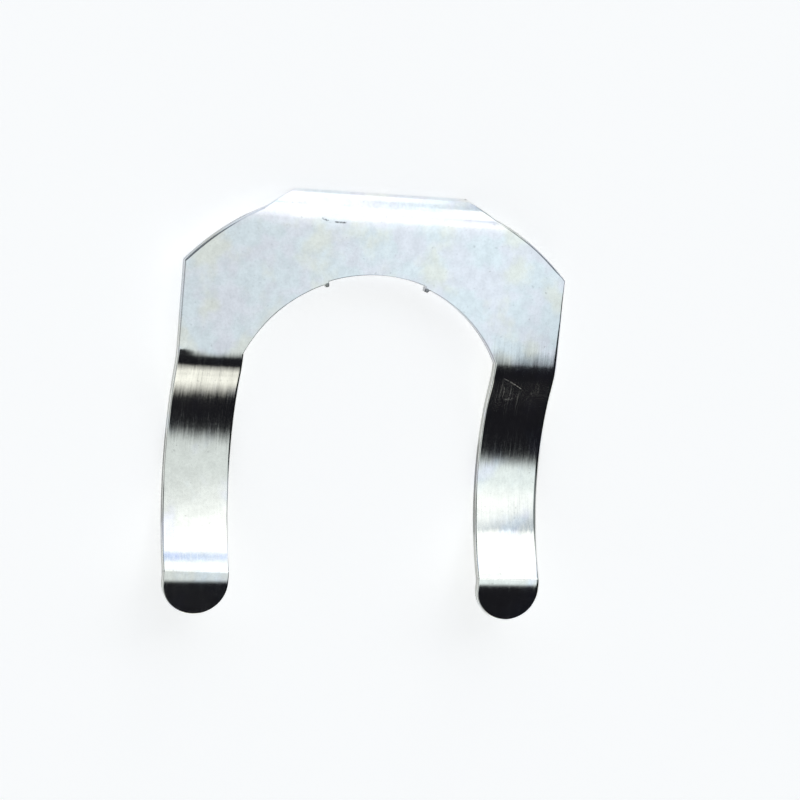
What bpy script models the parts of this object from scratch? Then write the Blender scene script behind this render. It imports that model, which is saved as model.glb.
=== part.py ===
# Retaining clip for a cam lock: one stamped and folded piece of zinc-plated spring steel.
# The blank is drawn flat, given its thickness and rounded edges, and then folded.
# In the blank, Y runs along the legs, the centre of the bore is at the origin and the
# front face is at zero depth. Lengths along a fold are measured on the front face.

import math

import bmesh
import bpy
from mathutils import Matrix

MM = 0.001

# Sheet
THICKNESS = 0.6 * MM
EDGE_RADIUS = 0.2 * MM  # tumbled rounding of every edge
CORNER_BREAK = 0.1 * MM  # plan radius that a corner keeps beyond the rounding of its edge

# Opening that straddles the flats of the lock's body
THROAT = 16.2 * MM  # clear width between the legs
BORE_OVERHANG = 0.9 * MM  # how much more the bore's radius is than half the throat
RELIEF_DEPTH = 0.12 * MM  # shallow relief at the top of the bore
RELIEF_HALF_ANGLE = math.radians(21)
NIB_HEIGHT = 0.2 * MM  # sheared nib that stands at each end of the relief
NIB_WIDTH = 0.32 * MM

# Plate
LEG_WIDTH = 4.15 * MM
SHOULDER_ABOVE_BORE = 0.45 * MM  # from the top of the bore up to the shoulders
CROWN_BAND = 5.8 * MM  # from the top of the bore up to the outer arc's crown

# Stiffening lip along the back
FOLD_ABOVE_BORE = 3.2 * MM  # from the top of the bore up to where the lip starts to bend
LIP_RADIUS = 2.2 * MM
LIP_ANGLE = math.radians(50)
LIP_FLANGE = 0.3 * MM  # straight stretch past the bend
LIP_SIDE_START = 0.9 * MM  # from the fold up to where the outer arc gives way to the lip's side
LIP_SIDE_ANGLE = math.radians(53)  # the lip's side, measured from the Y axis

# Legs
CREASE_DROP = 0.21 * MM  # from the bore's corners down to where the legs start to bend
CREASE_RADIUS = 2.4 * MM
CREASE_ANGLE = math.radians(26.5)
BOW_RADIUS = 12.0 * MM
RISE_ANGLE = math.radians(35)  # slope at which the bow rises to the tip
TIP_RADIUS = 1.0 * MM
TIP_ANGLE = math.radians(10)  # slope of the tip
TIP_LENGTH = 2.2 * MM  # straight stretch past the last bend

# Facets
FOLD_STEP = math.radians(3)
BOW_STEP = math.radians(2.6)
OUTLINE_STEP = math.radians(4)
TIP_STEP = math.radians(11)
CORNER_STEP = math.radians(15)
EDGE_STEPS = 3
WELD = 0.002 * MM
CUT_TOLERANCE = 0.0001 * MM

# Sizes that follow from the ones above
BORE_RADIUS = THROAT / 2 + BORE_OVERHANG
HALF_WIDTH = THROAT / 2 + LEG_WIDTH
CORNER_Y = math.sqrt(BORE_RADIUS**2 - (THROAT / 2) ** 2)
CREASE_Y = CORNER_Y - CREASE_DROP
SHOULDER_Y = BORE_RADIUS + SHOULDER_ABOVE_BORE
CROWN_Y = BORE_RADIUS + CROWN_BAND
FOLD_Y = BORE_RADIUS + FOLD_ABOVE_BORE
ROUNDING = min(EDGE_RADIUS, 0.45 * THICKNESS)

# A fold is a run of stretches: (length, radius, turn). A turn is positive where the sheet
# bends towards its back, and a straight stretch has no radius.
LIP_STRETCHES = [
    (LIP_RADIUS * LIP_ANGLE, LIP_RADIUS, LIP_ANGLE),
    (LIP_FLANGE, None, 0.0),
]
LEG_STRETCHES = [
    (CREASE_RADIUS * CREASE_ANGLE, CREASE_RADIUS, CREASE_ANGLE),
    (BOW_RADIUS * (CREASE_ANGLE + RISE_ANGLE), BOW_RADIUS, -CREASE_ANGLE - RISE_ANGLE),
    (TIP_RADIUS * (RISE_ANGLE + TIP_ANGLE), TIP_RADIUS, RISE_ANGLE + TIP_ANGLE),
    (TIP_LENGTH, None, 0.0),
]
LIP_END_Y = FOLD_Y + sum(length for length, _, _ in LIP_STRETCHES)
TIP_END_Y = CREASE_Y - sum(length for length, _, _ in LEG_STRETCHES)


def clear_scene():
    for item in list(bpy.data.objects):
        bpy.data.objects.remove(item, do_unlink=True)


def walk(stretches, distance):
    """Advance, drop and slope of the front face at a distance from the start of a fold."""
    advance = 0.0
    drop = 0.0
    slope = 0.0
    for length, radius, turn in stretches:
        step = min(distance, length)
        if radius is None or step <= 0:
            advance += max(step, 0.0) * math.cos(slope)
            drop += max(step, 0.0) * math.sin(slope)
        else:
            side = math.copysign(radius, turn)
            end = slope + step / side
            advance += side * (math.sin(end) - math.sin(slope))
            drop -= side * (math.cos(end) - math.cos(slope))
            slope = end
        distance -= step
    return advance, drop, slope


def formed(blank_y, depth):
    """(y, z) of a point of the blank after folding, with z measured from the front face."""
    if blank_y > FOLD_Y:
        start, heading, stretches = FOLD_Y, 1.0, LIP_STRETCHES
    elif blank_y < CREASE_Y:
        start, heading, stretches = CREASE_Y, -1.0, LEG_STRETCHES
    else:
        return blank_y, -depth
    advance, drop, slope = walk(stretches, abs(blank_y - start))
    y = start + heading * (advance - depth * math.sin(slope))
    return y, -drop - depth * math.cos(slope)


def fold_lines(start, heading, stretches):
    """Blank positions at which the sheet is divided so that its bends come out round."""
    lines = [start]
    distance = 0.0
    for length, radius, turn in stretches:
        step = BOW_STEP if radius == BOW_RADIUS else FOLD_STEP
        count = max(1, math.ceil(abs(turn) / step - 1e-6)) if radius else 0
        for index in range(count):
            lines.append(start + heading * (distance + length * (index + 1) / count))
        distance += length
    return lines


def arc_points(centre_y, radius, start, end, step):
    """Points on an arc about (0, centre_y). Angles are measured from +Y towards +X."""
    count = max(1, math.ceil(abs(end - start) / step - 1e-6))
    angles = [start + (end - start) * index / count for index in range(count + 1)]
    return [(radius * math.sin(a), centre_y + radius * math.cos(a)) for a in angles]


def broken_corner(before, corner, after, radius):
    """Short arc that takes the place of a corner between two straight directions."""
    into = math.atan2(corner[1] - before[1], corner[0] - before[0])
    out = math.atan2(after[1] - corner[1], after[0] - corner[0])
    turn = math.remainder(out - into, math.tau)
    setback = radius * math.tan(abs(turn) / 2)
    start = (corner[0] - setback * math.cos(into), corner[1] - setback * math.sin(into))
    side = math.copysign(radius, turn)
    count = max(1, math.ceil(abs(turn) / CORNER_STEP - 1e-6))
    points = []
    for index in range(count + 1):
        heading = into + turn * index / count
        x = start[0] + side * (math.sin(heading) - math.sin(into))
        y = start[1] - side * (math.cos(heading) - math.cos(into))
        points.append((x, y))
    return points


def bore_outline():
    """Half of the bore, from its top to its corner: relief, nib and arc."""
    nib_half = NIB_WIDTH / 2 / BORE_RADIUS
    corner_angle = math.asin(THROAT / 2 / BORE_RADIUS)
    relief_end = RELIEF_HALF_ANGLE - nib_half
    arc_start = RELIEF_HALF_ANGLE + nib_half
    points = arc_points(0, BORE_RADIUS + RELIEF_DEPTH, 0, relief_end, OUTLINE_STEP)
    for share in (-0.3, 0.3):
        angle = RELIEF_HALF_ANGLE + share * nib_half
        radius = BORE_RADIUS - NIB_HEIGHT
        points.append((radius * math.sin(angle), radius * math.cos(angle)))
    nib = slice(len(points) - 3, len(points) + 1)
    points += arc_points(0, BORE_RADIUS, arc_start, corner_angle, OUTLINE_STEP)
    return points, nib


def tip_outline():
    """Full-round end of a leg, from its inner side to its outer side."""
    radius = LEG_WIDTH / 2
    count = math.ceil(math.pi / TIP_STEP)
    middle = THROAT / 2 + radius
    points = []
    for index in range(count + 1):
        angle = math.pi * index / count
        points.append(
            (middle - radius * math.cos(angle), TIP_END_Y + radius - radius * math.sin(angle))
        )
    return points


def back_outline():
    """Half of the outer outline above a leg: shoulder, outer arc, lip side and lip edge."""
    rise = CROWN_Y - SHOULDER_Y
    outer_radius = (rise**2 + HALF_WIDTH**2) / (2 * rise)
    centre_y = CROWN_Y - outer_radius
    side_y = FOLD_Y + LIP_SIDE_START
    start = math.acos((SHOULDER_Y - centre_y) / outer_radius)
    end = math.acos(min(1.0, (side_y - centre_y) / outer_radius))
    arc = arc_points(centre_y, outer_radius, start, end, OUTLINE_STEP / 2)
    lip_half = arc[-1][0] - (LIP_END_Y - side_y) * math.tan(LIP_SIDE_ANGLE)
    lip_corner = (lip_half, LIP_END_Y)
    radius = ROUNDING + CORNER_BREAK
    points = broken_corner((HALF_WIDTH, TIP_END_Y), arc[0], arc[1], radius)
    points += arc[1:]
    points += broken_corner(arc[-1], lip_corner, (0, LIP_END_Y), radius)
    return points


def blank_outline():
    """Closed outline of the blank as (x, y, rounding of its edge)."""
    bore, nib = bore_outline()
    half = bore + tip_outline() + back_outline()
    roundings = [ROUNDING] * len(half)
    roundings[nib] = [ROUNDING / 4] * len(roundings[nib])
    right = [(x, y, r) for (x, y), r in zip(half, roundings)]
    left = [(-x, y, r) for x, y, r in reversed(right) if x > WELD]
    return right + left


def inward_offsets(outline):
    """For each outline point, the direction and scale of a step into the metal."""
    offsets = []
    for index, (x, y, _) in enumerate(outline):
        x0, y0, _ = outline[index - 1]
        x1, y1, _ = outline[(index + 1) % len(outline)]
        before = math.atan2(y - y0, x - x0)
        turn = math.remainder(math.atan2(y1 - y, x1 - x) - before, math.tau)
        normal = before + turn / 2 + math.pi / 2
        scale = 1 / math.cos(turn / 2)
        offsets.append((scale * math.cos(normal), scale * math.sin(normal)))
    return offsets


def rounded_blank():
    """Closed flat sheet whose perimeter is rounded on both faces. Z is minus the depth."""
    mesh = bmesh.new()
    outline = blank_outline()
    offsets = inward_offsets(outline)
    sections = [(index / EDGE_STEPS, False) for index in range(EDGE_STEPS + 1)]
    sections += [(share, True) for share, _ in reversed(sections)]
    rings = []
    for share, at_back in sections:
        angle = share * math.pi / 2
        ring = []
        for (x, y, rounding), (ox, oy) in zip(outline, offsets):
            inset = rounding * (1 - math.sin(angle))
            depth = rounding * (1 - math.cos(angle))
            if at_back:
                depth = THICKNESS - depth
            ring.append(mesh.verts.new((x + ox * inset, y + oy * inset, -depth)))
        rings.append(ring)
    count = len(outline)
    for upper, lower in zip(rings, rings[1:]):
        for index in range(count):
            after = (index + 1) % count
            mesh.faces.new((upper[index], lower[index], lower[after], upper[after]))
    mesh.faces.new(rings[0])
    mesh.faces.new(reversed(rings[-1]))
    bmesh.ops.recalc_face_normals(mesh, faces=mesh.faces)
    return mesh


def divide_at_folds(mesh):
    lines = fold_lines(CREASE_Y, -1.0, LEG_STRETCHES) + fold_lines(FOLD_Y, 1.0, LIP_STRETCHES)
    for y in lines:
        geometry = mesh.verts[:] + mesh.edges[:] + mesh.faces[:]
        bmesh.ops.bisect_plane(
            mesh, geom=geometry, dist=CUT_TOLERANCE, plane_co=(0, y, 0), plane_no=(0, 1, 0)
        )
    bmesh.ops.remove_doubles(mesh, verts=mesh.verts, dist=WELD)


def fold(mesh):
    for vert in mesh.verts:
        vert.co.y, vert.co.z = formed(vert.co.y, -vert.co.z)


def resting_tilt():
    """Turn about X that brings the lip's lower edge and the bows of the legs to one level."""
    lip_y, lip_z = formed(LIP_END_Y - ROUNDING, THICKNESS - ROUNDING)
    bow_y, bow_z = formed(CREASE_Y - LEG_STRETCHES[0][0], -BOW_RADIUS)
    reach = math.hypot(bow_y - lip_y, bow_z - lip_z)
    direction = math.atan2(bow_y - lip_y, bow_z - lip_z)
    return direction + math.acos((BOW_RADIUS + THICKNESS - ROUNDING) / reach)


def zinc_plated_steel():
    material = bpy.data.materials.new("zinc_plated_steel")
    material.use_nodes = True
    shader = material.node_tree.nodes["Principled BSDF"]
    shader.inputs["Base Color"].default_value = (0.78, 0.81, 0.83, 1.0)
    shader.inputs["Metallic"].default_value = 1.0
    shader.inputs["Roughness"].default_value = 0.22
    return material


def make_clip():
    blank = rounded_blank()
    divide_at_folds(blank)
    fold(blank)
    mesh = bpy.data.meshes.new("retaining_clip")
    blank.to_mesh(mesh)
    blank.free()
    mesh.shade_smooth()
    mesh.set_sharp_from_angle(angle=math.radians(35))
    mesh.materials.append(zinc_plated_steel())
    clip = bpy.data.objects.new("retaining_clip", mesh)
    bpy.context.scene.collection.objects.link(clip)
    return clip


def lay_down(clip):
    """Lays the clip on the bows of its legs and its lip, over the middle of its footprint."""
    tilt = resting_tilt()
    turn = Matrix.Rotation(tilt, 3, "X")
    points = [turn @ vert.co for vert in clip.data.vertices]
    lowest = min(point.z for point in points)
    middle = (min(point.y for point in points) + max(point.y for point in points)) / 2
    clip.rotation_euler.x = tilt
    clip.location = (0, -middle, -lowest)


clear_scene()
lay_down(make_clip())
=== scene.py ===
import math

import bmesh
import bpy
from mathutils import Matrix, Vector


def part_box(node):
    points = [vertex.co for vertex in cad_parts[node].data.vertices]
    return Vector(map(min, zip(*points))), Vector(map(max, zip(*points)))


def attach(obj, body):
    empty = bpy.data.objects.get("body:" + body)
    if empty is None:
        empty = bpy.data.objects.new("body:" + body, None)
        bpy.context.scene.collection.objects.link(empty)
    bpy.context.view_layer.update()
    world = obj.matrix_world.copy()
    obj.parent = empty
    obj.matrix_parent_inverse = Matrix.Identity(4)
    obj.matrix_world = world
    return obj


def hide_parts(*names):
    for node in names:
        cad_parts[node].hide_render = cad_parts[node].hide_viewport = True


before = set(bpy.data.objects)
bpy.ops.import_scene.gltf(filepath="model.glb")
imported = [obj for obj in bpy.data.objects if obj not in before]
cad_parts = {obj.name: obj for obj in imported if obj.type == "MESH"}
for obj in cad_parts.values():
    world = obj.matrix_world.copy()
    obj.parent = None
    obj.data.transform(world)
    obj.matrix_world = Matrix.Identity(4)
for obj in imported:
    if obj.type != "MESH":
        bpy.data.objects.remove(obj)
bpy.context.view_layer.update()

mm = 0.001

# The clip as it was stamped and folded, in mm and degrees. X runs across the throat, Y along the
# legs towards the lip, and the centre of the bore is at the origin of the flat blank.
clip = {
    "thickness": 0.6,
    "edgeRadius": 0.2,
    "edgeSteps": 7,
    "smoothAngle": 40,
    "holdingRing": 0.012,
    # places of the outline (x, y) with the share of edgeRadius that the edge has there, because the
    # stamping rolled the right side over most
    "edgeShares": (
        (0.0, 9.1, 0.2), (-4.0, 8.2, 0.25), (-8.0, 4.2, 0.2), (4.0, 8.2, 0.3),
        (6.6, 6.1, 0.45), (8.0, 4.2, 0.6), (-8.1, 3.0, 0.6), (-8.1, 0.5, 0.8),
        (-8.1, -2.5, 0.7), (-8.1, -5.0, 0.4), (-8.1, -10.0, 0.4), (8.1, 2.0, 0.4),
        (8.1, -4.0, 0.4), (8.1, -10.0, 0.4), (10.2, -13.2, 0.7), (12.25, -10.0, 1.1),
        (12.25, -4.0, 1.2), (12.25, 3.0, 1.15), (12.25, 5.0, 0.95), (12.25, 7.0, 0.6),
        (12.25, 9.0, 0.35), (11.0, 10.7, 0.75), (8.0, 12.6, 0.9), (5.4, 13.7, 0.9),
        (3.0, 14.4, 0.2), (-3.0, 14.4, 0.2), (-5.4, 13.7, 0.5), (-8.0, 12.6, 0.85),
        (-11.0, 10.7, 0.9), (-12.25, 8.0, 0.6), (-12.25, 3.0, 0.5), (-12.25, -4.0, 0.4),
        (-10.2, -13.2, 0.4),
    ),
    "cornerShare": 0.3,
    "throat": 16.2,
    "boreRadius": 9.0,
    "reliefDepth": 0.12,
    "reliefHalfAngle": 21.0,
    "nibHalfAngle": 1.1,
    # points of a nib's outline, as shares of its width, of which those within nibPick degrees of its
    # middle are pulled out
    "nibShares": (0.22, 0.78, 1.0),
    "nibPick": 0.77,
    "nibPull": 0.18,
    "legWidth": 4.15,
    "tipEnd": -13.263,
    "shoulderY": 9.45,
    "crownY": 14.8,
    "lipEnd": 14.42,
    "lipSideY": 13.1,
    "lipSideAngle": 53.0,
    # how many steps each stretch of the outline is drawn in
    "steps": {"relief": 20, "bore": 42, "inner": 12, "tip": 40, "outer": 16, "crown": 24},
    # each bend is a place along Y and stretches of (length, turn), because the press leaves it gentle
    # at its ends and tight in between
    "creaseY": 5.02,
    "creaseBends": ((1.0, 2.0), (0.4, 4.2), (0.70, 13.0), (0.92, 7.3)),
    "bowY": 2.603,
    "bowBends": ((12.88, -61.5),),
    "tipBendY": -10.335,
    "tipBends": ((0.17, 28.0), (0.86, 17.0)),
    "lipBendY": 11.46,
    "lipBends": ((0.9, -4.5), (1.85, -42.5)),
    "foldStep": 1.0,
    "foldGap": 0.3,
    "legLines": (0.15, 0.3, 0.45, 0.6, 0.75, 0.88),
    "kinkPlace": (-12.25, 4.0),
    "kinkPick": 0.12,
    "kinkHeight": 0.045,
    "kinkReach": 1.15,
    "tilt": 2.776,
}


def startEditing(piece):
    bpy.ops.object.select_all(action="DESELECT")
    piece.select_set(True)
    bpy.context.view_layer.objects.active = piece
    bpy.ops.object.mode_set(mode="EDIT")


def pickVerts(piece, test):
    # selects the vertices that pass the test, and the edges and faces between them
    bpy.ops.mesh.select_mode(type="VERT")
    bpy.ops.mesh.select_all(action="DESELECT")
    mesh = bmesh.from_edit_mesh(piece.data)
    for vert in mesh.verts:
        vert.select_set(test(vert.co / mm))
    mesh.select_flush_mode()
    bmesh.update_edit_mesh(piece.data)


def drawLine(x, y, steps=1):
    # carries the selected vertex along a straight line
    step = (x * mm / steps, y * mm / steps, 0)
    for _ in range(steps):
        bpy.ops.mesh.extrude_region_move(TRANSFORM_OT_translate={"value": step})


def drawArc(centre, degrees, steps):
    # carries the selected vertex round a centre, clockwise where degrees is positive
    bpy.ops.mesh.spin(
        steps=steps,
        angle=math.radians(degrees),
        center=(centre[0] * mm, centre[1] * mm, 0),
        axis=(0, 0, 1),
        use_auto_merge=False,
    )


def onArc(degrees, radius):
    turn = math.radians(degrees)
    return radius * math.sin(turn), radius * math.cos(turn)


def drawHalfOutline():
    # from the top of the bore round the right leg and the shoulder to the middle of the lip
    bore = clip["boreRadius"]
    steps = clip["steps"]
    halfThroat = clip["throat"] / 2
    halfWidth = halfThroat + clip["legWidth"]
    tipMiddle = clip["tipEnd"] + clip["legWidth"] / 2
    reliefEnd = clip["reliefHalfAngle"] - clip["nibHalfAngle"]
    arcStart = clip["reliefHalfAngle"] + clip["nibHalfAngle"]
    cornerAngle = math.degrees(math.asin(halfThroat / bore))
    cornerY = math.sqrt(bore**2 - halfThroat**2)

    drawArc((0, 0), reliefEnd, steps["relief"])
    here = onArc(reliefEnd, bore + clip["reliefDepth"])
    for share in clip["nibShares"]:
        there = onArc(reliefEnd + share * 2 * clip["nibHalfAngle"], bore)
        drawLine(there[0] - here[0], there[1] - here[1])
        here = there
    drawArc((0, 0), cornerAngle - arcStart, steps["bore"])
    drawLine(0, tipMiddle - cornerY, steps["inner"])
    drawArc((halfThroat + clip["legWidth"] / 2, tipMiddle), -180, steps["tip"])
    drawLine(0, clip["shoulderY"] - tipMiddle, steps["outer"])

    rise = clip["crownY"] - clip["shoulderY"]
    outer = (rise**2 + halfWidth**2) / (2 * rise)
    centreY = clip["crownY"] - outer
    fromAngle = math.degrees(math.acos((clip["shoulderY"] - centreY) / outer))
    toAngle = math.degrees(math.acos((clip["lipSideY"] - centreY) / outer))
    drawArc((0, centreY), toAngle - fromAngle, steps["crown"])
    sideX = onArc(toAngle, outer)[0]
    sideRise = clip["lipEnd"] - clip["lipSideY"]
    sideRun = sideRise * math.tan(math.radians(clip["lipSideAngle"]))
    drawLine(-sideRun, sideRise)
    drawLine(-(sideX - sideRun), 0)
    return halfWidth, sideX - sideRun


def edgeShare(x, y):
    # the nearest places of the list count most
    total = 0.0
    weight = 0.0
    for placeX, placeY, share in clip["edgeShares"]:
        nearness = ((x - placeX) ** 2 + (y - placeY) ** 2 + 0.01) ** -2
        total += nearness * share
        weight += nearness
    return total / weight


def roundEdges(piece, corners):
    # bevel weights along both rims and down the corners, then one bevel that follows them
    mesh = piece.data
    weights = mesh.attributes.new("bevel_weight_edge", "FLOAT", "EDGE")
    for edge in mesh.edges:
        first, second = (mesh.vertices[index].co / mm for index in edge.vertices)
        middle = (first + second) / 2
        if abs(first.z - second.z) < 0.01:
            weights.data[edge.index].value = edgeShare(middle.x, middle.y)
        elif any(math.dist((abs(middle.x), middle.y), corner) < 0.01 for corner in corners):
            weights.data[edge.index].value = clip["cornerShare"]
    bpy.ops.object.modifier_add(type="BEVEL")
    rim = piece.modifiers[-1]
    rim.limit_method = "WEIGHT"
    rim.width = clip["edgeRadius"] * mm
    rim.segments = clip["edgeSteps"]
    rim.use_clamp_overlap = False
    bpy.ops.object.modifier_apply(modifier=rim.name)

    # a narrow ring keeps each flat face flat up to its rounded rim
    startEditing(piece)
    for level in (0, -clip["thickness"]):
        pickVerts(piece, lambda at, level=level: abs(at.z - level) < 0.0005)
        bpy.ops.mesh.inset(thickness=clip["holdingRing"] * mm, depth=0, use_even_offset=True)
    bpy.ops.object.mode_set(mode="OBJECT")


def pullNibs(piece):
    # the two sheared nibs stand proud of the bore at the ends of its relief
    for side in (-1, 1):
        middle = side * clip["reliefHalfAngle"]

        def onNib(at, middle=middle):
            turn = abs(math.degrees(math.atan2(at.x, at.y)) - middle)
            return turn < clip["nibPick"] and math.hypot(at.x, at.y) < clip["boreRadius"] + 0.1

        pickVerts(piece, onNib)
        x, y = onArc(middle, -clip["nibPull"] * mm)
        bpy.ops.transform.translate(value=(x, y, 0))


def stampBlank():
    start = clip["boreRadius"] + clip["reliefDepth"]
    bpy.ops.object.select_all(action="DESELECT")
    bpy.ops.mesh.primitive_plane_add(size=mm, location=(0, start * mm, 0))
    piece = bpy.context.active_object
    piece.name = "steel_clip"
    bpy.ops.object.transform_apply(location=True, rotation=True, scale=True)
    startEditing(piece)
    bpy.ops.mesh.select_all(action="SELECT")
    bpy.ops.mesh.merge(type="CENTER")
    halfWidth, lipHalf = drawHalfOutline()

    # mirror the half, close it with one face, and push that through the sheet's thickness
    bpy.ops.mesh.select_all(action="SELECT")
    bpy.ops.mesh.duplicate()
    bpy.ops.transform.resize(value=(-1, 1, 1), center_override=(0, 0, 0))
    bpy.ops.mesh.select_all(action="SELECT")
    bpy.ops.mesh.remove_doubles(threshold=1e-6)
    pullNibs(piece)
    bpy.ops.mesh.select_all(action="SELECT")
    bpy.ops.mesh.edge_face_add()
    down = (0, 0, -clip["thickness"] * mm)
    bpy.ops.mesh.extrude_region_move(TRANSFORM_OT_translate={"value": down})
    bpy.ops.mesh.select_all(action="SELECT")
    bpy.ops.mesh.normals_make_consistent(inside=False)
    bpy.ops.object.mode_set(mode="OBJECT")
    roundEdges(piece, ((halfWidth, clip["shoulderY"]), (lipHalf, clip["lipEnd"])))
    return piece


def foldLines(start, heading, bends):
    # fold lines of a bend: (place of the line, turn there in degrees)
    lines = []
    along = 0.0
    for length, turn in bends:
        count = math.ceil(max(abs(turn) / clip["foldStep"], length / clip["foldGap"]))
        for index in range(count):
            lines.append((start + heading * (along + length * (index + 0.5) / count), turn / count))
        along += length
    return lines


def cutAcross(point, normal):
    bpy.ops.mesh.select_all(action="SELECT")
    bpy.ops.mesh.bisect(plane_co=point, plane_no=normal, threshold=1e-8)


def storeBlank(piece):
    # blankPlace keeps each point's place in the flat blank, in mm, for patterns that follow the sheet
    mesh = piece.data
    place = mesh.attributes.new("blankPlace", "FLOAT_VECTOR", "POINT")
    flat = []
    for vert in mesh.vertices:
        flat.extend(vert.co / mm)
    place.data.foreach_set("vector", flat)


def turnBeyond(piece, y, turn, beyond):
    bpy.ops.mesh.select_all(action="DESELECT")
    mesh = bmesh.from_edit_mesh(piece.data)
    place = mesh.verts.layers.float_vector["blankPlace"]
    for vert in mesh.verts:
        if beyond(vert[place].y):
            vert.select_set(True)
    mesh.select_flush_mode()
    bmesh.update_edit_mesh(piece.data)
    bpy.ops.transform.rotate(
        value=-math.radians(turn), orient_axis="X", center_override=(0, y * mm, 0)
    )


def foldSheet(piece):
    legs = foldLines(clip["creaseY"], -1, clip["creaseBends"])
    legs += foldLines(clip["bowY"], -1, clip["bowBends"])
    legs += foldLines(clip["tipBendY"], -1, clip["tipBends"])
    legs.sort(reverse=True)
    lip = foldLines(clip["lipBendY"], 1, clip["lipBends"])
    startEditing(piece)
    for y, turn in legs + lip:
        cutAcross((0, y * mm, 0), (0, 1, 0))
    for side in (-1, 1):
        for share in clip["legLines"]:
            x = side * (clip["throat"] / 2 + share * clip["legWidth"])
            cutAcross((x * mm, 0, 0), (1, 0, 0))
    bpy.ops.mesh.select_all(action="SELECT")
    bpy.ops.mesh.remove_doubles(threshold=5e-7)
    bpy.ops.mesh.delete_loose()
    bpy.ops.object.mode_set(mode="OBJECT")
    storeBlank(piece)

    # the outer corner of the left leg's crease is kinked up a little
    startEditing(piece)
    kinkX, kinkY = clip["kinkPlace"]
    pickVerts(piece, lambda at: math.hypot(at.x - kinkX, at.y - kinkY) < clip["kinkPick"])
    bpy.ops.transform.translate(
        value=(0, 0, clip["kinkHeight"] * mm),
        use_proportional_edit=True,
        proportional_edit_falloff="SHARP",
        proportional_size=clip["kinkReach"] * mm,
    )

    # each line turns all that lies beyond it, from the far end in, so that no line has moved yet
    for y, turn in reversed(legs):
        turnBeyond(piece, y, turn, lambda at, line=y: at < line + 0.0001)
    for y, turn in reversed(lip):
        turnBeyond(piece, y, turn, lambda at, line=y: at > line - 0.0001)
    bpy.ops.object.mode_set(mode="OBJECT")


def layDown(piece):
    # the clip lies on the bows of its legs and on its lip, where the frame has it
    startEditing(piece)
    bpy.ops.mesh.select_all(action="SELECT")
    bpy.ops.transform.rotate(
        value=math.radians(clip["tilt"]), orient_axis="X", center_override=(0, 0, 0)
    )
    bpy.ops.object.mode_set(mode="OBJECT")
    low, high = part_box("retaining_clip")
    ys = [vert.co.y for vert in piece.data.vertices]
    lowest = min(vert.co.z for vert in piece.data.vertices)
    startEditing(piece)
    bpy.ops.mesh.select_all(action="SELECT")
    middle = (low.y + high.y) / 2
    bpy.ops.transform.translate(value=(0, middle - (min(ys) + max(ys)) / 2, low.z - lowest))
    bpy.ops.object.mode_set(mode="OBJECT")
    bpy.ops.object.shade_smooth_by_angle(angle=math.radians(clip["smoothAngle"]))


def addNode(tree, kind, **values):
    node = tree.nodes.new(kind)
    for name, value in values.items():
        setattr(node, name, value)
    return node


def feed(tree, target, value):
    # another node's output is wired in, and anything else becomes the input's own value
    if isinstance(value, bpy.types.NodeSocket):
        tree.links.new(value, target)
    else:
        target.default_value = value


def calc(tree, operation, *values):
    node = addNode(tree, "ShaderNodeMath", operation=operation)
    for target, value in zip(node.inputs, values):
        feed(tree, target, value)
    return node.outputs[0]


def vectorCalc(tree, operation, *values):
    node = addNode(tree, "ShaderNodeVectorMath", operation=operation)
    for target, value in zip(node.inputs, values):
        feed(tree, target, value)
    return node.outputs["Value" if operation in ("DOT_PRODUCT", "DISTANCE") else "Vector"]


def ease(tree, value, low, high, toLow=0.0, toHigh=1.0):
    # smooth step from toLow at low to toHigh at high
    node = addNode(tree, "ShaderNodeMapRange", interpolation_type="SMOOTHSTEP")
    for name, number in zip(("From Min", "From Max", "To Min", "To Max"), (low, high, toLow, toHigh)):
        node.inputs[name].default_value = number
    feed(tree, node.inputs["Value"], value)
    return node.outputs["Result"]


def mixTones(tree, share, low, high):
    node = addNode(tree, "ShaderNodeMix", data_type="RGBA")
    feed(tree, node.inputs[0], share)
    for target, tone in zip(node.inputs[6:8], (low, high)):
        feed(tree, target, (*tone, 1) if isinstance(tone, tuple) else tone)
    return node.outputs[2]


def grainOf(tree, place, perMm, detail=2.0):
    # noise with perMm = (across, along, through) features a mm, so that it can run in streaks
    mapping = addNode(tree, "ShaderNodeMapping")
    mapping.inputs["Scale"].default_value = perMm
    feed(tree, mapping.inputs["Vector"], place)
    noise = addNode(tree, "ShaderNodeTexNoise")
    noise.inputs["Scale"].default_value = 1.0
    noise.inputs["Detail"].default_value = detail
    feed(tree, noise.inputs["Vector"], mapping.outputs[0])
    return noise.outputs["Fac"]


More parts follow.
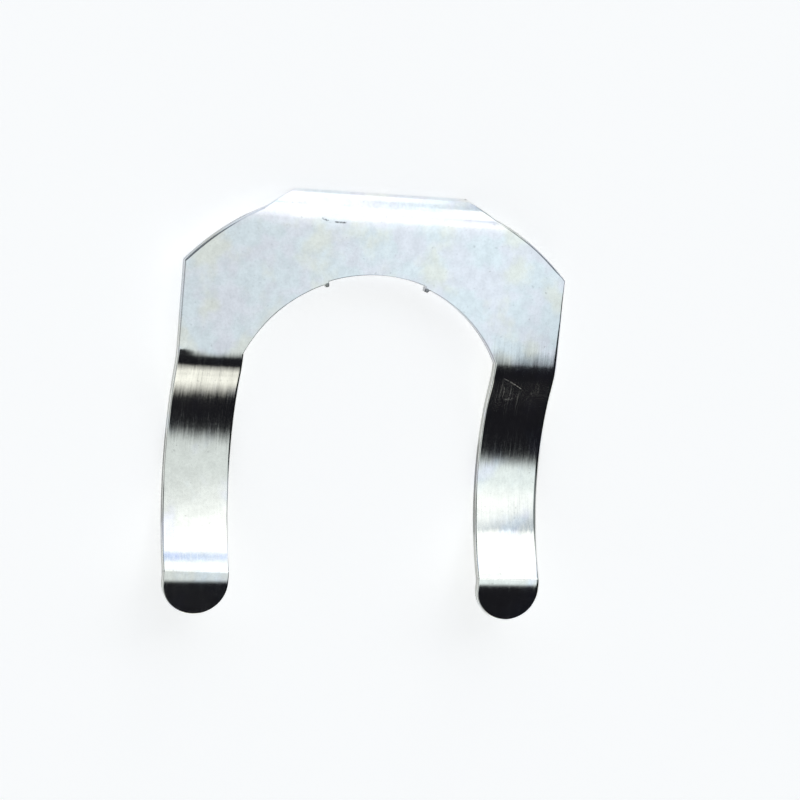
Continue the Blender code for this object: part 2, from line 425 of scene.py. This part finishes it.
# Bright zinc plate. Patterns follow the blank, in mm: features a mm across, along and through it.
# A pair of places is where along Y one look gives way to the other.
zinc = {
    "blue": (0.77, 0.83, 0.87),
    "lavender": (0.80, 0.81, 0.87),
    "straw": (0.82, 0.835, 0.79),
    "patches": (0.45, 0.5, 0.4),
    "strawPatches": (0.4, 0.33, 0.4),
    "streaks": (7.0, 0.35, 3.0),
    "drawLines": (14.0, 0.25, 5.0),
    "grain": (5.0, 5.0, 5.0),
    "mottle": (1.5, 1.3, 1.5),
    "specks": (3.4, 3.4, 3.4),
    "plateToLeg": (6.0, 4.6),
    "legToTip": (-8.2, -8.9),
    "strawFrom": (5.5, 2.5),
    "legStraw": 0.16,
    "mottleLevels": (0.95, 1.045),
    "grainLevels": (0.97, 1.03),
    "speckLoss": 0.12,
    "toolMarkLoss": 0.55,
    "nibPlace": (3.19, 8.32, 0.0),
    "nibLoss": 0.7,
    "wallLoss": 0.38,
    # painted shadow: how much more the wall darkens along the bows, where they lie near the floor
    "bowWallPaintedShadow": 0.72,
    "bowMiddle": -4.6,
    "roughness": 0.09,
    "grainRoughness": 0.012,
    "streakRoughness": 0.08,
    "plateStreaks": 0.2,
    "speckRoughness": 0.05,
    "wallRoughness": 0.24,
    "toolMarkRoughness": 0.25,
    "scratchRoughness": 0.26,
    "legStreakTilt": 0.055,
    "plateStreakTilt": 0.01,
    "tipStreakTilt": 0.012,
    "grainHeight": 2.5e-7,
    # a mark is (middle, half length, centre of its curve, half width, strength) in the blank
    "scratches": (
        ((9.62, 2.62), 1.10, (4.77, -6.14), 0.030, 1.0),
        ((9.03, 2.05), 0.55, (59.0, 2.9), 0.034, 0.42),
        ((9.55, 1.50), 0.80, (9.40, 2.30), 0.040, 0.30),
        ((10.75, 1.75), 0.60, (9.70, 2.40), 0.034, 0.26),
    ),
    "toolMarks": (
        ((-3.60, 12.36), 0.36, (-8.0, 2.0), 0.085, 1.0),
        ((-2.72, 12.27), 0.46, (-2.9, 22.0), 0.075, 1.0),
    ),
}


def markMask(tree, place, mark):
    middle, halfLength, centre, halfWidth, strength = mark
    radius = math.dist(middle, centre)
    across = vectorCalc(tree, "DISTANCE", place, (*centre, 0))
    across = calc(tree, "ABSOLUTE", calc(tree, "SUBTRACT", across, radius))
    along = vectorCalc(tree, "DISTANCE", place, (*middle, 0))
    line = ease(tree, across, halfWidth, halfWidth * 0.4, 0.0, strength)
    return calc(tree, "MULTIPLY", line, ease(tree, along, halfLength, halfLength * 0.55))


def allMarks(tree, place, marks):
    mask = markMask(tree, place, marks[0])
    for mark in marks[1:]:
        mask = calc(tree, "MAXIMUM", mask, markMask(tree, place, mark))
    return mask


def dim(tree, level, mask, loss):
    # takes the share loss off the level where the mask is 1
    kept = calc(tree, "SUBTRACT", 1.0, calc(tree, "MULTIPLY", mask, loss))
    return calc(tree, "MULTIPLY", level, kept)


def roughen(tree, rough, mask, amount):
    return calc(tree, "ADD", rough, calc(tree, "MULTIPLY", mask, amount))


def zincPatterns(tree):
    # places in the blank, noises, and masks of the marks and of the sheared wall
    place = addNode(tree, "ShaderNodeAttribute", attribute_name="blankPlace").outputs["Vector"]
    parts = addNode(tree, "ShaderNodeSeparateXYZ")
    feed(tree, parts.inputs[0], place)
    look = {"place": place, "along": parts.outputs["Y"]}
    details = {"patches": 4, "strawPatches": 4, "streaks": 3, "drawLines": 2, "grain": 2, "mottle": 5}
    for name, detail in details.items():
        look[name] = grainOf(tree, place, zinc[name], detail)
    look["specks"] = ease(tree, grainOf(tree, place, zinc["specks"], 3), 0.64, 0.74)
    worn = ease(tree, look["grain"], 0.35, 0.6)
    for name in ("scratches", "toolMarks"):
        look[name] = calc(tree, "MULTIPLY", allMarks(tree, place, zinc[name]), worn)
    depth = calc(tree, "ADD", parts.outputs["Z"], clip["thickness"] / 2)
    look["wall"] = ease(tree, calc(tree, "ABSOLUTE", depth), 0.25, 0.18)
    return look


def zincColour(tree, look):
    # the plating's tint drifts between blue, lavender and straw, and straw gains on the legs
    tone = mixTones(tree, ease(tree, look["patches"], 0.42, 0.58), zinc["blue"], zinc["lavender"])
    legStraw = ease(tree, look["along"], *zinc["strawFrom"], 0.0, zinc["legStraw"])
    straw = ease(tree, calc(tree, "ADD", look["strawPatches"], legStraw), 0.48, 0.66)
    tone = mixTones(tree, straw, tone, zinc["straw"])
    level = ease(tree, look["mottle"], 0.32, 0.68, *zinc["mottleLevels"])
    level = calc(tree, "MULTIPLY", level, ease(tree, look["grain"], 0.3, 0.7, *zinc["grainLevels"]))
    level = dim(tree, level, look["specks"], zinc["speckLoss"])
    level = dim(tree, level, look["toolMarks"], zinc["toolMarkLoss"])

    # the two sheared nibs are dark
    folded = vectorCalc(tree, "ABSOLUTE", look["place"])
    onNib = ease(tree, vectorCalc(tree, "DISTANCE", folded, zinc["nibPlace"]), 0.2, 0.13)
    level = dim(tree, level, onNib, zinc["nibLoss"])

    # the sheared wall between the two rims is duller than the faces, and along the bows, where the legs
    # lie close to the floor, it is darkened further with painted shadow
    fromBow = calc(tree, "ABSOLUTE", calc(tree, "SUBTRACT", look["along"], zinc["bowMiddle"]))
    # painted shadow: strongest at the middle of the bows and fading towards their ends
    bowShadowMask = ease(tree, fromBow, 3.6, 2.2)
    loss = ease(tree, bowShadowMask, 0.0, 1.0, zinc["wallLoss"], zinc["bowWallPaintedShadow"])
    level = dim(tree, level, look["wall"], loss)
    scaled = addNode(tree, "ShaderNodeVectorMath", operation="SCALE")
    feed(tree, scaled.inputs[0], tone)
    feed(tree, scaled.inputs["Scale"], level)
    return scaled.outputs[0]


def zincRoughness(tree, look):
    onLeg = ease(tree, look["along"], *zinc["plateToLeg"], zinc["plateStreaks"], 1.0)
    drawn = ease(tree, look["drawLines"], 0.5, 0.75, 0.0, zinc["streakRoughness"])
    least = zinc["roughness"]
    rough = ease(tree, look["grain"], 0.42, 0.65, least, least + zinc["grainRoughness"])
    rough = roughen(tree, rough, drawn, onLeg)
    rough = roughen(tree, rough, look["specks"], zinc["speckRoughness"])
    rough = roughen(tree, rough, look["wall"], zinc["wallRoughness"])
    rough = roughen(tree, rough, look["toolMarks"], zinc["toolMarkRoughness"])
    return roughen(tree, rough, look["scratches"], zinc["scratchRoughness"])


def zincNormal(tree, look):
    # each drawn streak leans a little along the sheet, which frays the edges of reflections
    normal = addNode(tree, "ShaderNodeNewGeometry").outputs["Normal"]
    lengthwise = vectorCalc(tree, "CROSS_PRODUCT", normal, (1, 0, 0))
    tilts = (zinc["plateStreakTilt"], zinc["legStreakTilt"])
    most = ease(tree, look["along"], *zinc["plateToLeg"], *tilts)
    most = dim(tree, most, ease(tree, look["along"], *zinc["legToTip"]), 1.0)
    most = calc(tree, "MAXIMUM", most, zinc["tipStreakTilt"])
    leaning = addNode(tree, "ShaderNodeVectorMath", operation="SCALE")
    feed(tree, leaning.inputs[0], lengthwise)
    lean = calc(tree, "MULTIPLY", calc(tree, "SUBTRACT", look["streaks"], 0.5), most)
    feed(tree, leaning.inputs["Scale"], lean)
    tilted = vectorCalc(tree, "NORMALIZE", vectorCalc(tree, "ADD", normal, leaning.outputs[0]))
    bump = addNode(tree, "ShaderNodeBump")
    bump.inputs["Strength"].default_value = 1.0
    bump.inputs["Distance"].default_value = zinc["grainHeight"]
    feed(tree, bump.inputs["Height"], look["grain"])
    feed(tree, bump.inputs["Normal"], tilted)
    return bump.outputs[0]


def zincFinish():
    material = bpy.data.materials.new("zinc_plate")
    material.use_nodes = True
    tree = material.node_tree
    shader = tree.nodes["Principled BSDF"]
    shader.inputs["Metallic"].default_value = 1.0
    look = zincPatterns(tree)
    feed(tree, shader.inputs["Base Color"], zincColour(tree, look))
    feed(tree, shader.inputs["Roughness"], zincRoughness(tree, look))
    feed(tree, shader.inputs["Normal"], zincNormal(tree, look))
    return material


# Camera and floor: places in mm, turns in degrees
studio = {
    "cameraPlace": (-46.204, 34.454, 162.234),
    "cameraTurn": (-13.0981, -15.5135, 5.9997),
    "focalLength": 122.987,
    "sensorWidth": 36,
    "nearest": 10,
    "farthest": 20000,
    "floorSize": 4000,
    "floorDrop": 0.02,
    "floorColour": 0.93,
    "floorGlow": 0.53,
}


def placeCamera():
    bpy.ops.object.camera_add(
        location=[value * mm for value in studio["cameraPlace"]],
        rotation=[math.radians(value) for value in studio["cameraTurn"]],
    )
    camera = bpy.context.active_object
    camera.name = "camera"
    camera.data.lens = studio["focalLength"]
    camera.data.sensor_width = studio["sensorWidth"]
    camera.data.clip_start = studio["nearest"] * mm
    camera.data.clip_end = studio["farthest"] * mm
    bpy.context.scene.camera = camera


def seenDirectly(tree):
    # 1 for camera, mirror and see-through rays, 0 for the rays that light the scene
    path = addNode(tree, "ShaderNodeLightPath").outputs
    seen = calc(tree, "MAXIMUM", path["Is Camera Ray"], path["Is Glossy Ray"])
    return calc(tree, "MAXIMUM", seen, path["Is Transmission Ray"])


def layFloor():
    bpy.ops.mesh.primitive_plane_add(
        size=studio["floorSize"] * mm, location=(0, 0, -studio["floorDrop"] * mm)
    )
    floor = bpy.context.active_object
    floor.name = "studio_floor"
    material = bpy.data.materials.new("white_floor")
    material.use_nodes = True
    tree = material.node_tree
    tree.nodes.remove(tree.nodes["Principled BSDF"])
    paint = addNode(tree, "ShaderNodeBsdfDiffuse")
    paint.inputs["Color"].default_value = (*[studio["floorColour"]] * 3, 1)
    glow = addNode(tree, "ShaderNodeEmission")
    feed(tree, glow.inputs["Strength"], calc(tree, "MULTIPLY", seenDirectly(tree), studio["floorGlow"]))
    both = addNode(tree, "ShaderNodeAddShader")
    feed(tree, both.inputs[0], paint.outputs[0])
    feed(tree, both.inputs[1], glow.outputs[0])
    feed(tree, tree.nodes["Material Output"].inputs["Surface"], both.outputs[0])
    floor.data.materials.append(material)


# Light tent round the clip: a sky tone, and panels laid over it in turn. A panel is a tone and the
# edges that bound it. An edge is (a, b, c, d, softness), and the panel is where a*x + b*y + c*z + d
# is above 0 in the direction (x, y, z).
tent = {
    "sky": (0.785, 0.83, 0.84),
    "panels": {
        "rightSky": ((0.97, 1.05, 1.08), (1, 0, -0.275, 0, 0.06)),
        "white": (
            (1.40, 1.42, 1.43),
            (14, 1, -1.78, -1.782, 0.45),
            (-1, 1, -0.12, 0.275, 0.13),
        ),
        "lipBlue": (
            (1.02, 1.10, 1.13),
            (1, 0, 0, -0.266, 0.004),
            (-1, 0, 0, 0.292, 0.006),
            (0, 1, -1.15, 0, 0.12),
            (0, -1, 3.5, 0, 0.25),
        ),
        "blueCard": (
            (0.50, 0.58, 0.68),
            (1, 0, -0.374, 0, 0.016),
            (0, -1, 0.62, 0, 0.03),
            (0, 1, -0.20, 0, 0.08),
        ),
        "rightGrey": ((0.18, 0.20, 0.21), (1, 0, -0.44, 0, 0.05), (0.35, -1, 0.47, 0, 0.08)),
        "leftGrey": ((0.42, 0.43, 0.44), (-1, 0, -0.20, 0, 0.12), (0, -1, 1.0, 0, 0.3)),
        "leftDark": (
            (0.12, 0.125, 0.13),
            (-1, 0, -0.02, 0, 0.05),
            (0, 1, -0.17, 0, 0.08),
            (-1.4, -1, 0.45, 0, 0.10),
        ),
        "lipCorner": ((0.42, 0.53, 0.64), (1, 0, 0, -0.301, 0.004), (0, 1, -1.8, 0, 0.12)),
        "lipSide": ((0.15, 0.16, 0.18), (1, -0.46, 0, 0, 0.03), (0, 1, -2.4, 0, 0.3)),
        "blueLine": (
            (0.66, 0.80, 1.12),
            (0, 1, -1.19, 0, 0.03),
            (0, -1, 1.44, 0, 0.03),
            (-1, 0, 0.39, 0, 0.02),
        ),
        "cream": ((1.21, 1.19, 1.12), (0, -1, -0.55, 0, 0.10), (1, 0, 0, -0.03, 0.06)),
        "leftBlack": (
            (0.009, 0.009, 0.012),
            (1.523, -1, -0.672, 0.003, 0.115),
            (0.34, 1, 0.225, 0.488, 0.086),
            (0, -1, -0.08, 0, 0.08),
            (-1, 0, 0, 0.262, 0.012),
        ),
        "rightBlack": (
            (0.009, 0.009, 0.012),
            (1.523, -1, -0.672, 0, 0.10),
            (2.6, 1, 0.225, 0, 0.085),
            (0, -1, -0.08, 0, 0.08),
            (1, 0, 0, -0.238, 0.012),
        ),
    },
}


def insideEdge(tree, direction, edge):
    a, b, c, d, softness = edge
    dot = vectorCalc(tree, "DOT_PRODUCT", direction, (a, b, c))
    return ease(tree, dot, -d - softness, -d + softness)


def lightTent():
    world = bpy.data.worlds.new("light_tent")
    bpy.context.scene.world = world
    world.use_nodes = True
    tree = world.node_tree
    direction = addNode(tree, "ShaderNodeTexCoord").outputs["Generated"]
    tone = tent["sky"]
    for panelTone, *edges in tent["panels"].values():
        mask = insideEdge(tree, direction, edges[0])
        for edge in edges[1:]:
            mask = calc(tree, "MULTIPLY", mask, insideEdge(tree, direction, edge))
        tone = mixTones(tree, mask, tone, panelTone)
    seen = addNode(tree, "ShaderNodeLightPath").outputs["Is Camera Ray"]
    tone = mixTones(tree, seen, tone, (1.0, 1.0, 1.0))
    feed(tree, tree.nodes["Background"].inputs["Color"], tone)


steelClip = stampBlank()
print("blank stamped", len(steelClip.data.vertices))
foldSheet(steelClip)
print("sheet folded", len(steelClip.data.vertices))
layDown(steelClip)
steelClip.data.materials.append(zincFinish())
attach(steelClip, "root")
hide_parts("retaining_clip")
print("clip laid down and plated")

bpy.ops.object.select_all(action="DESELECT")
placeCamera()
layFloor()
lightTent()
bpy.context.scene.view_settings.view_transform = "Standard"
print("studio set")
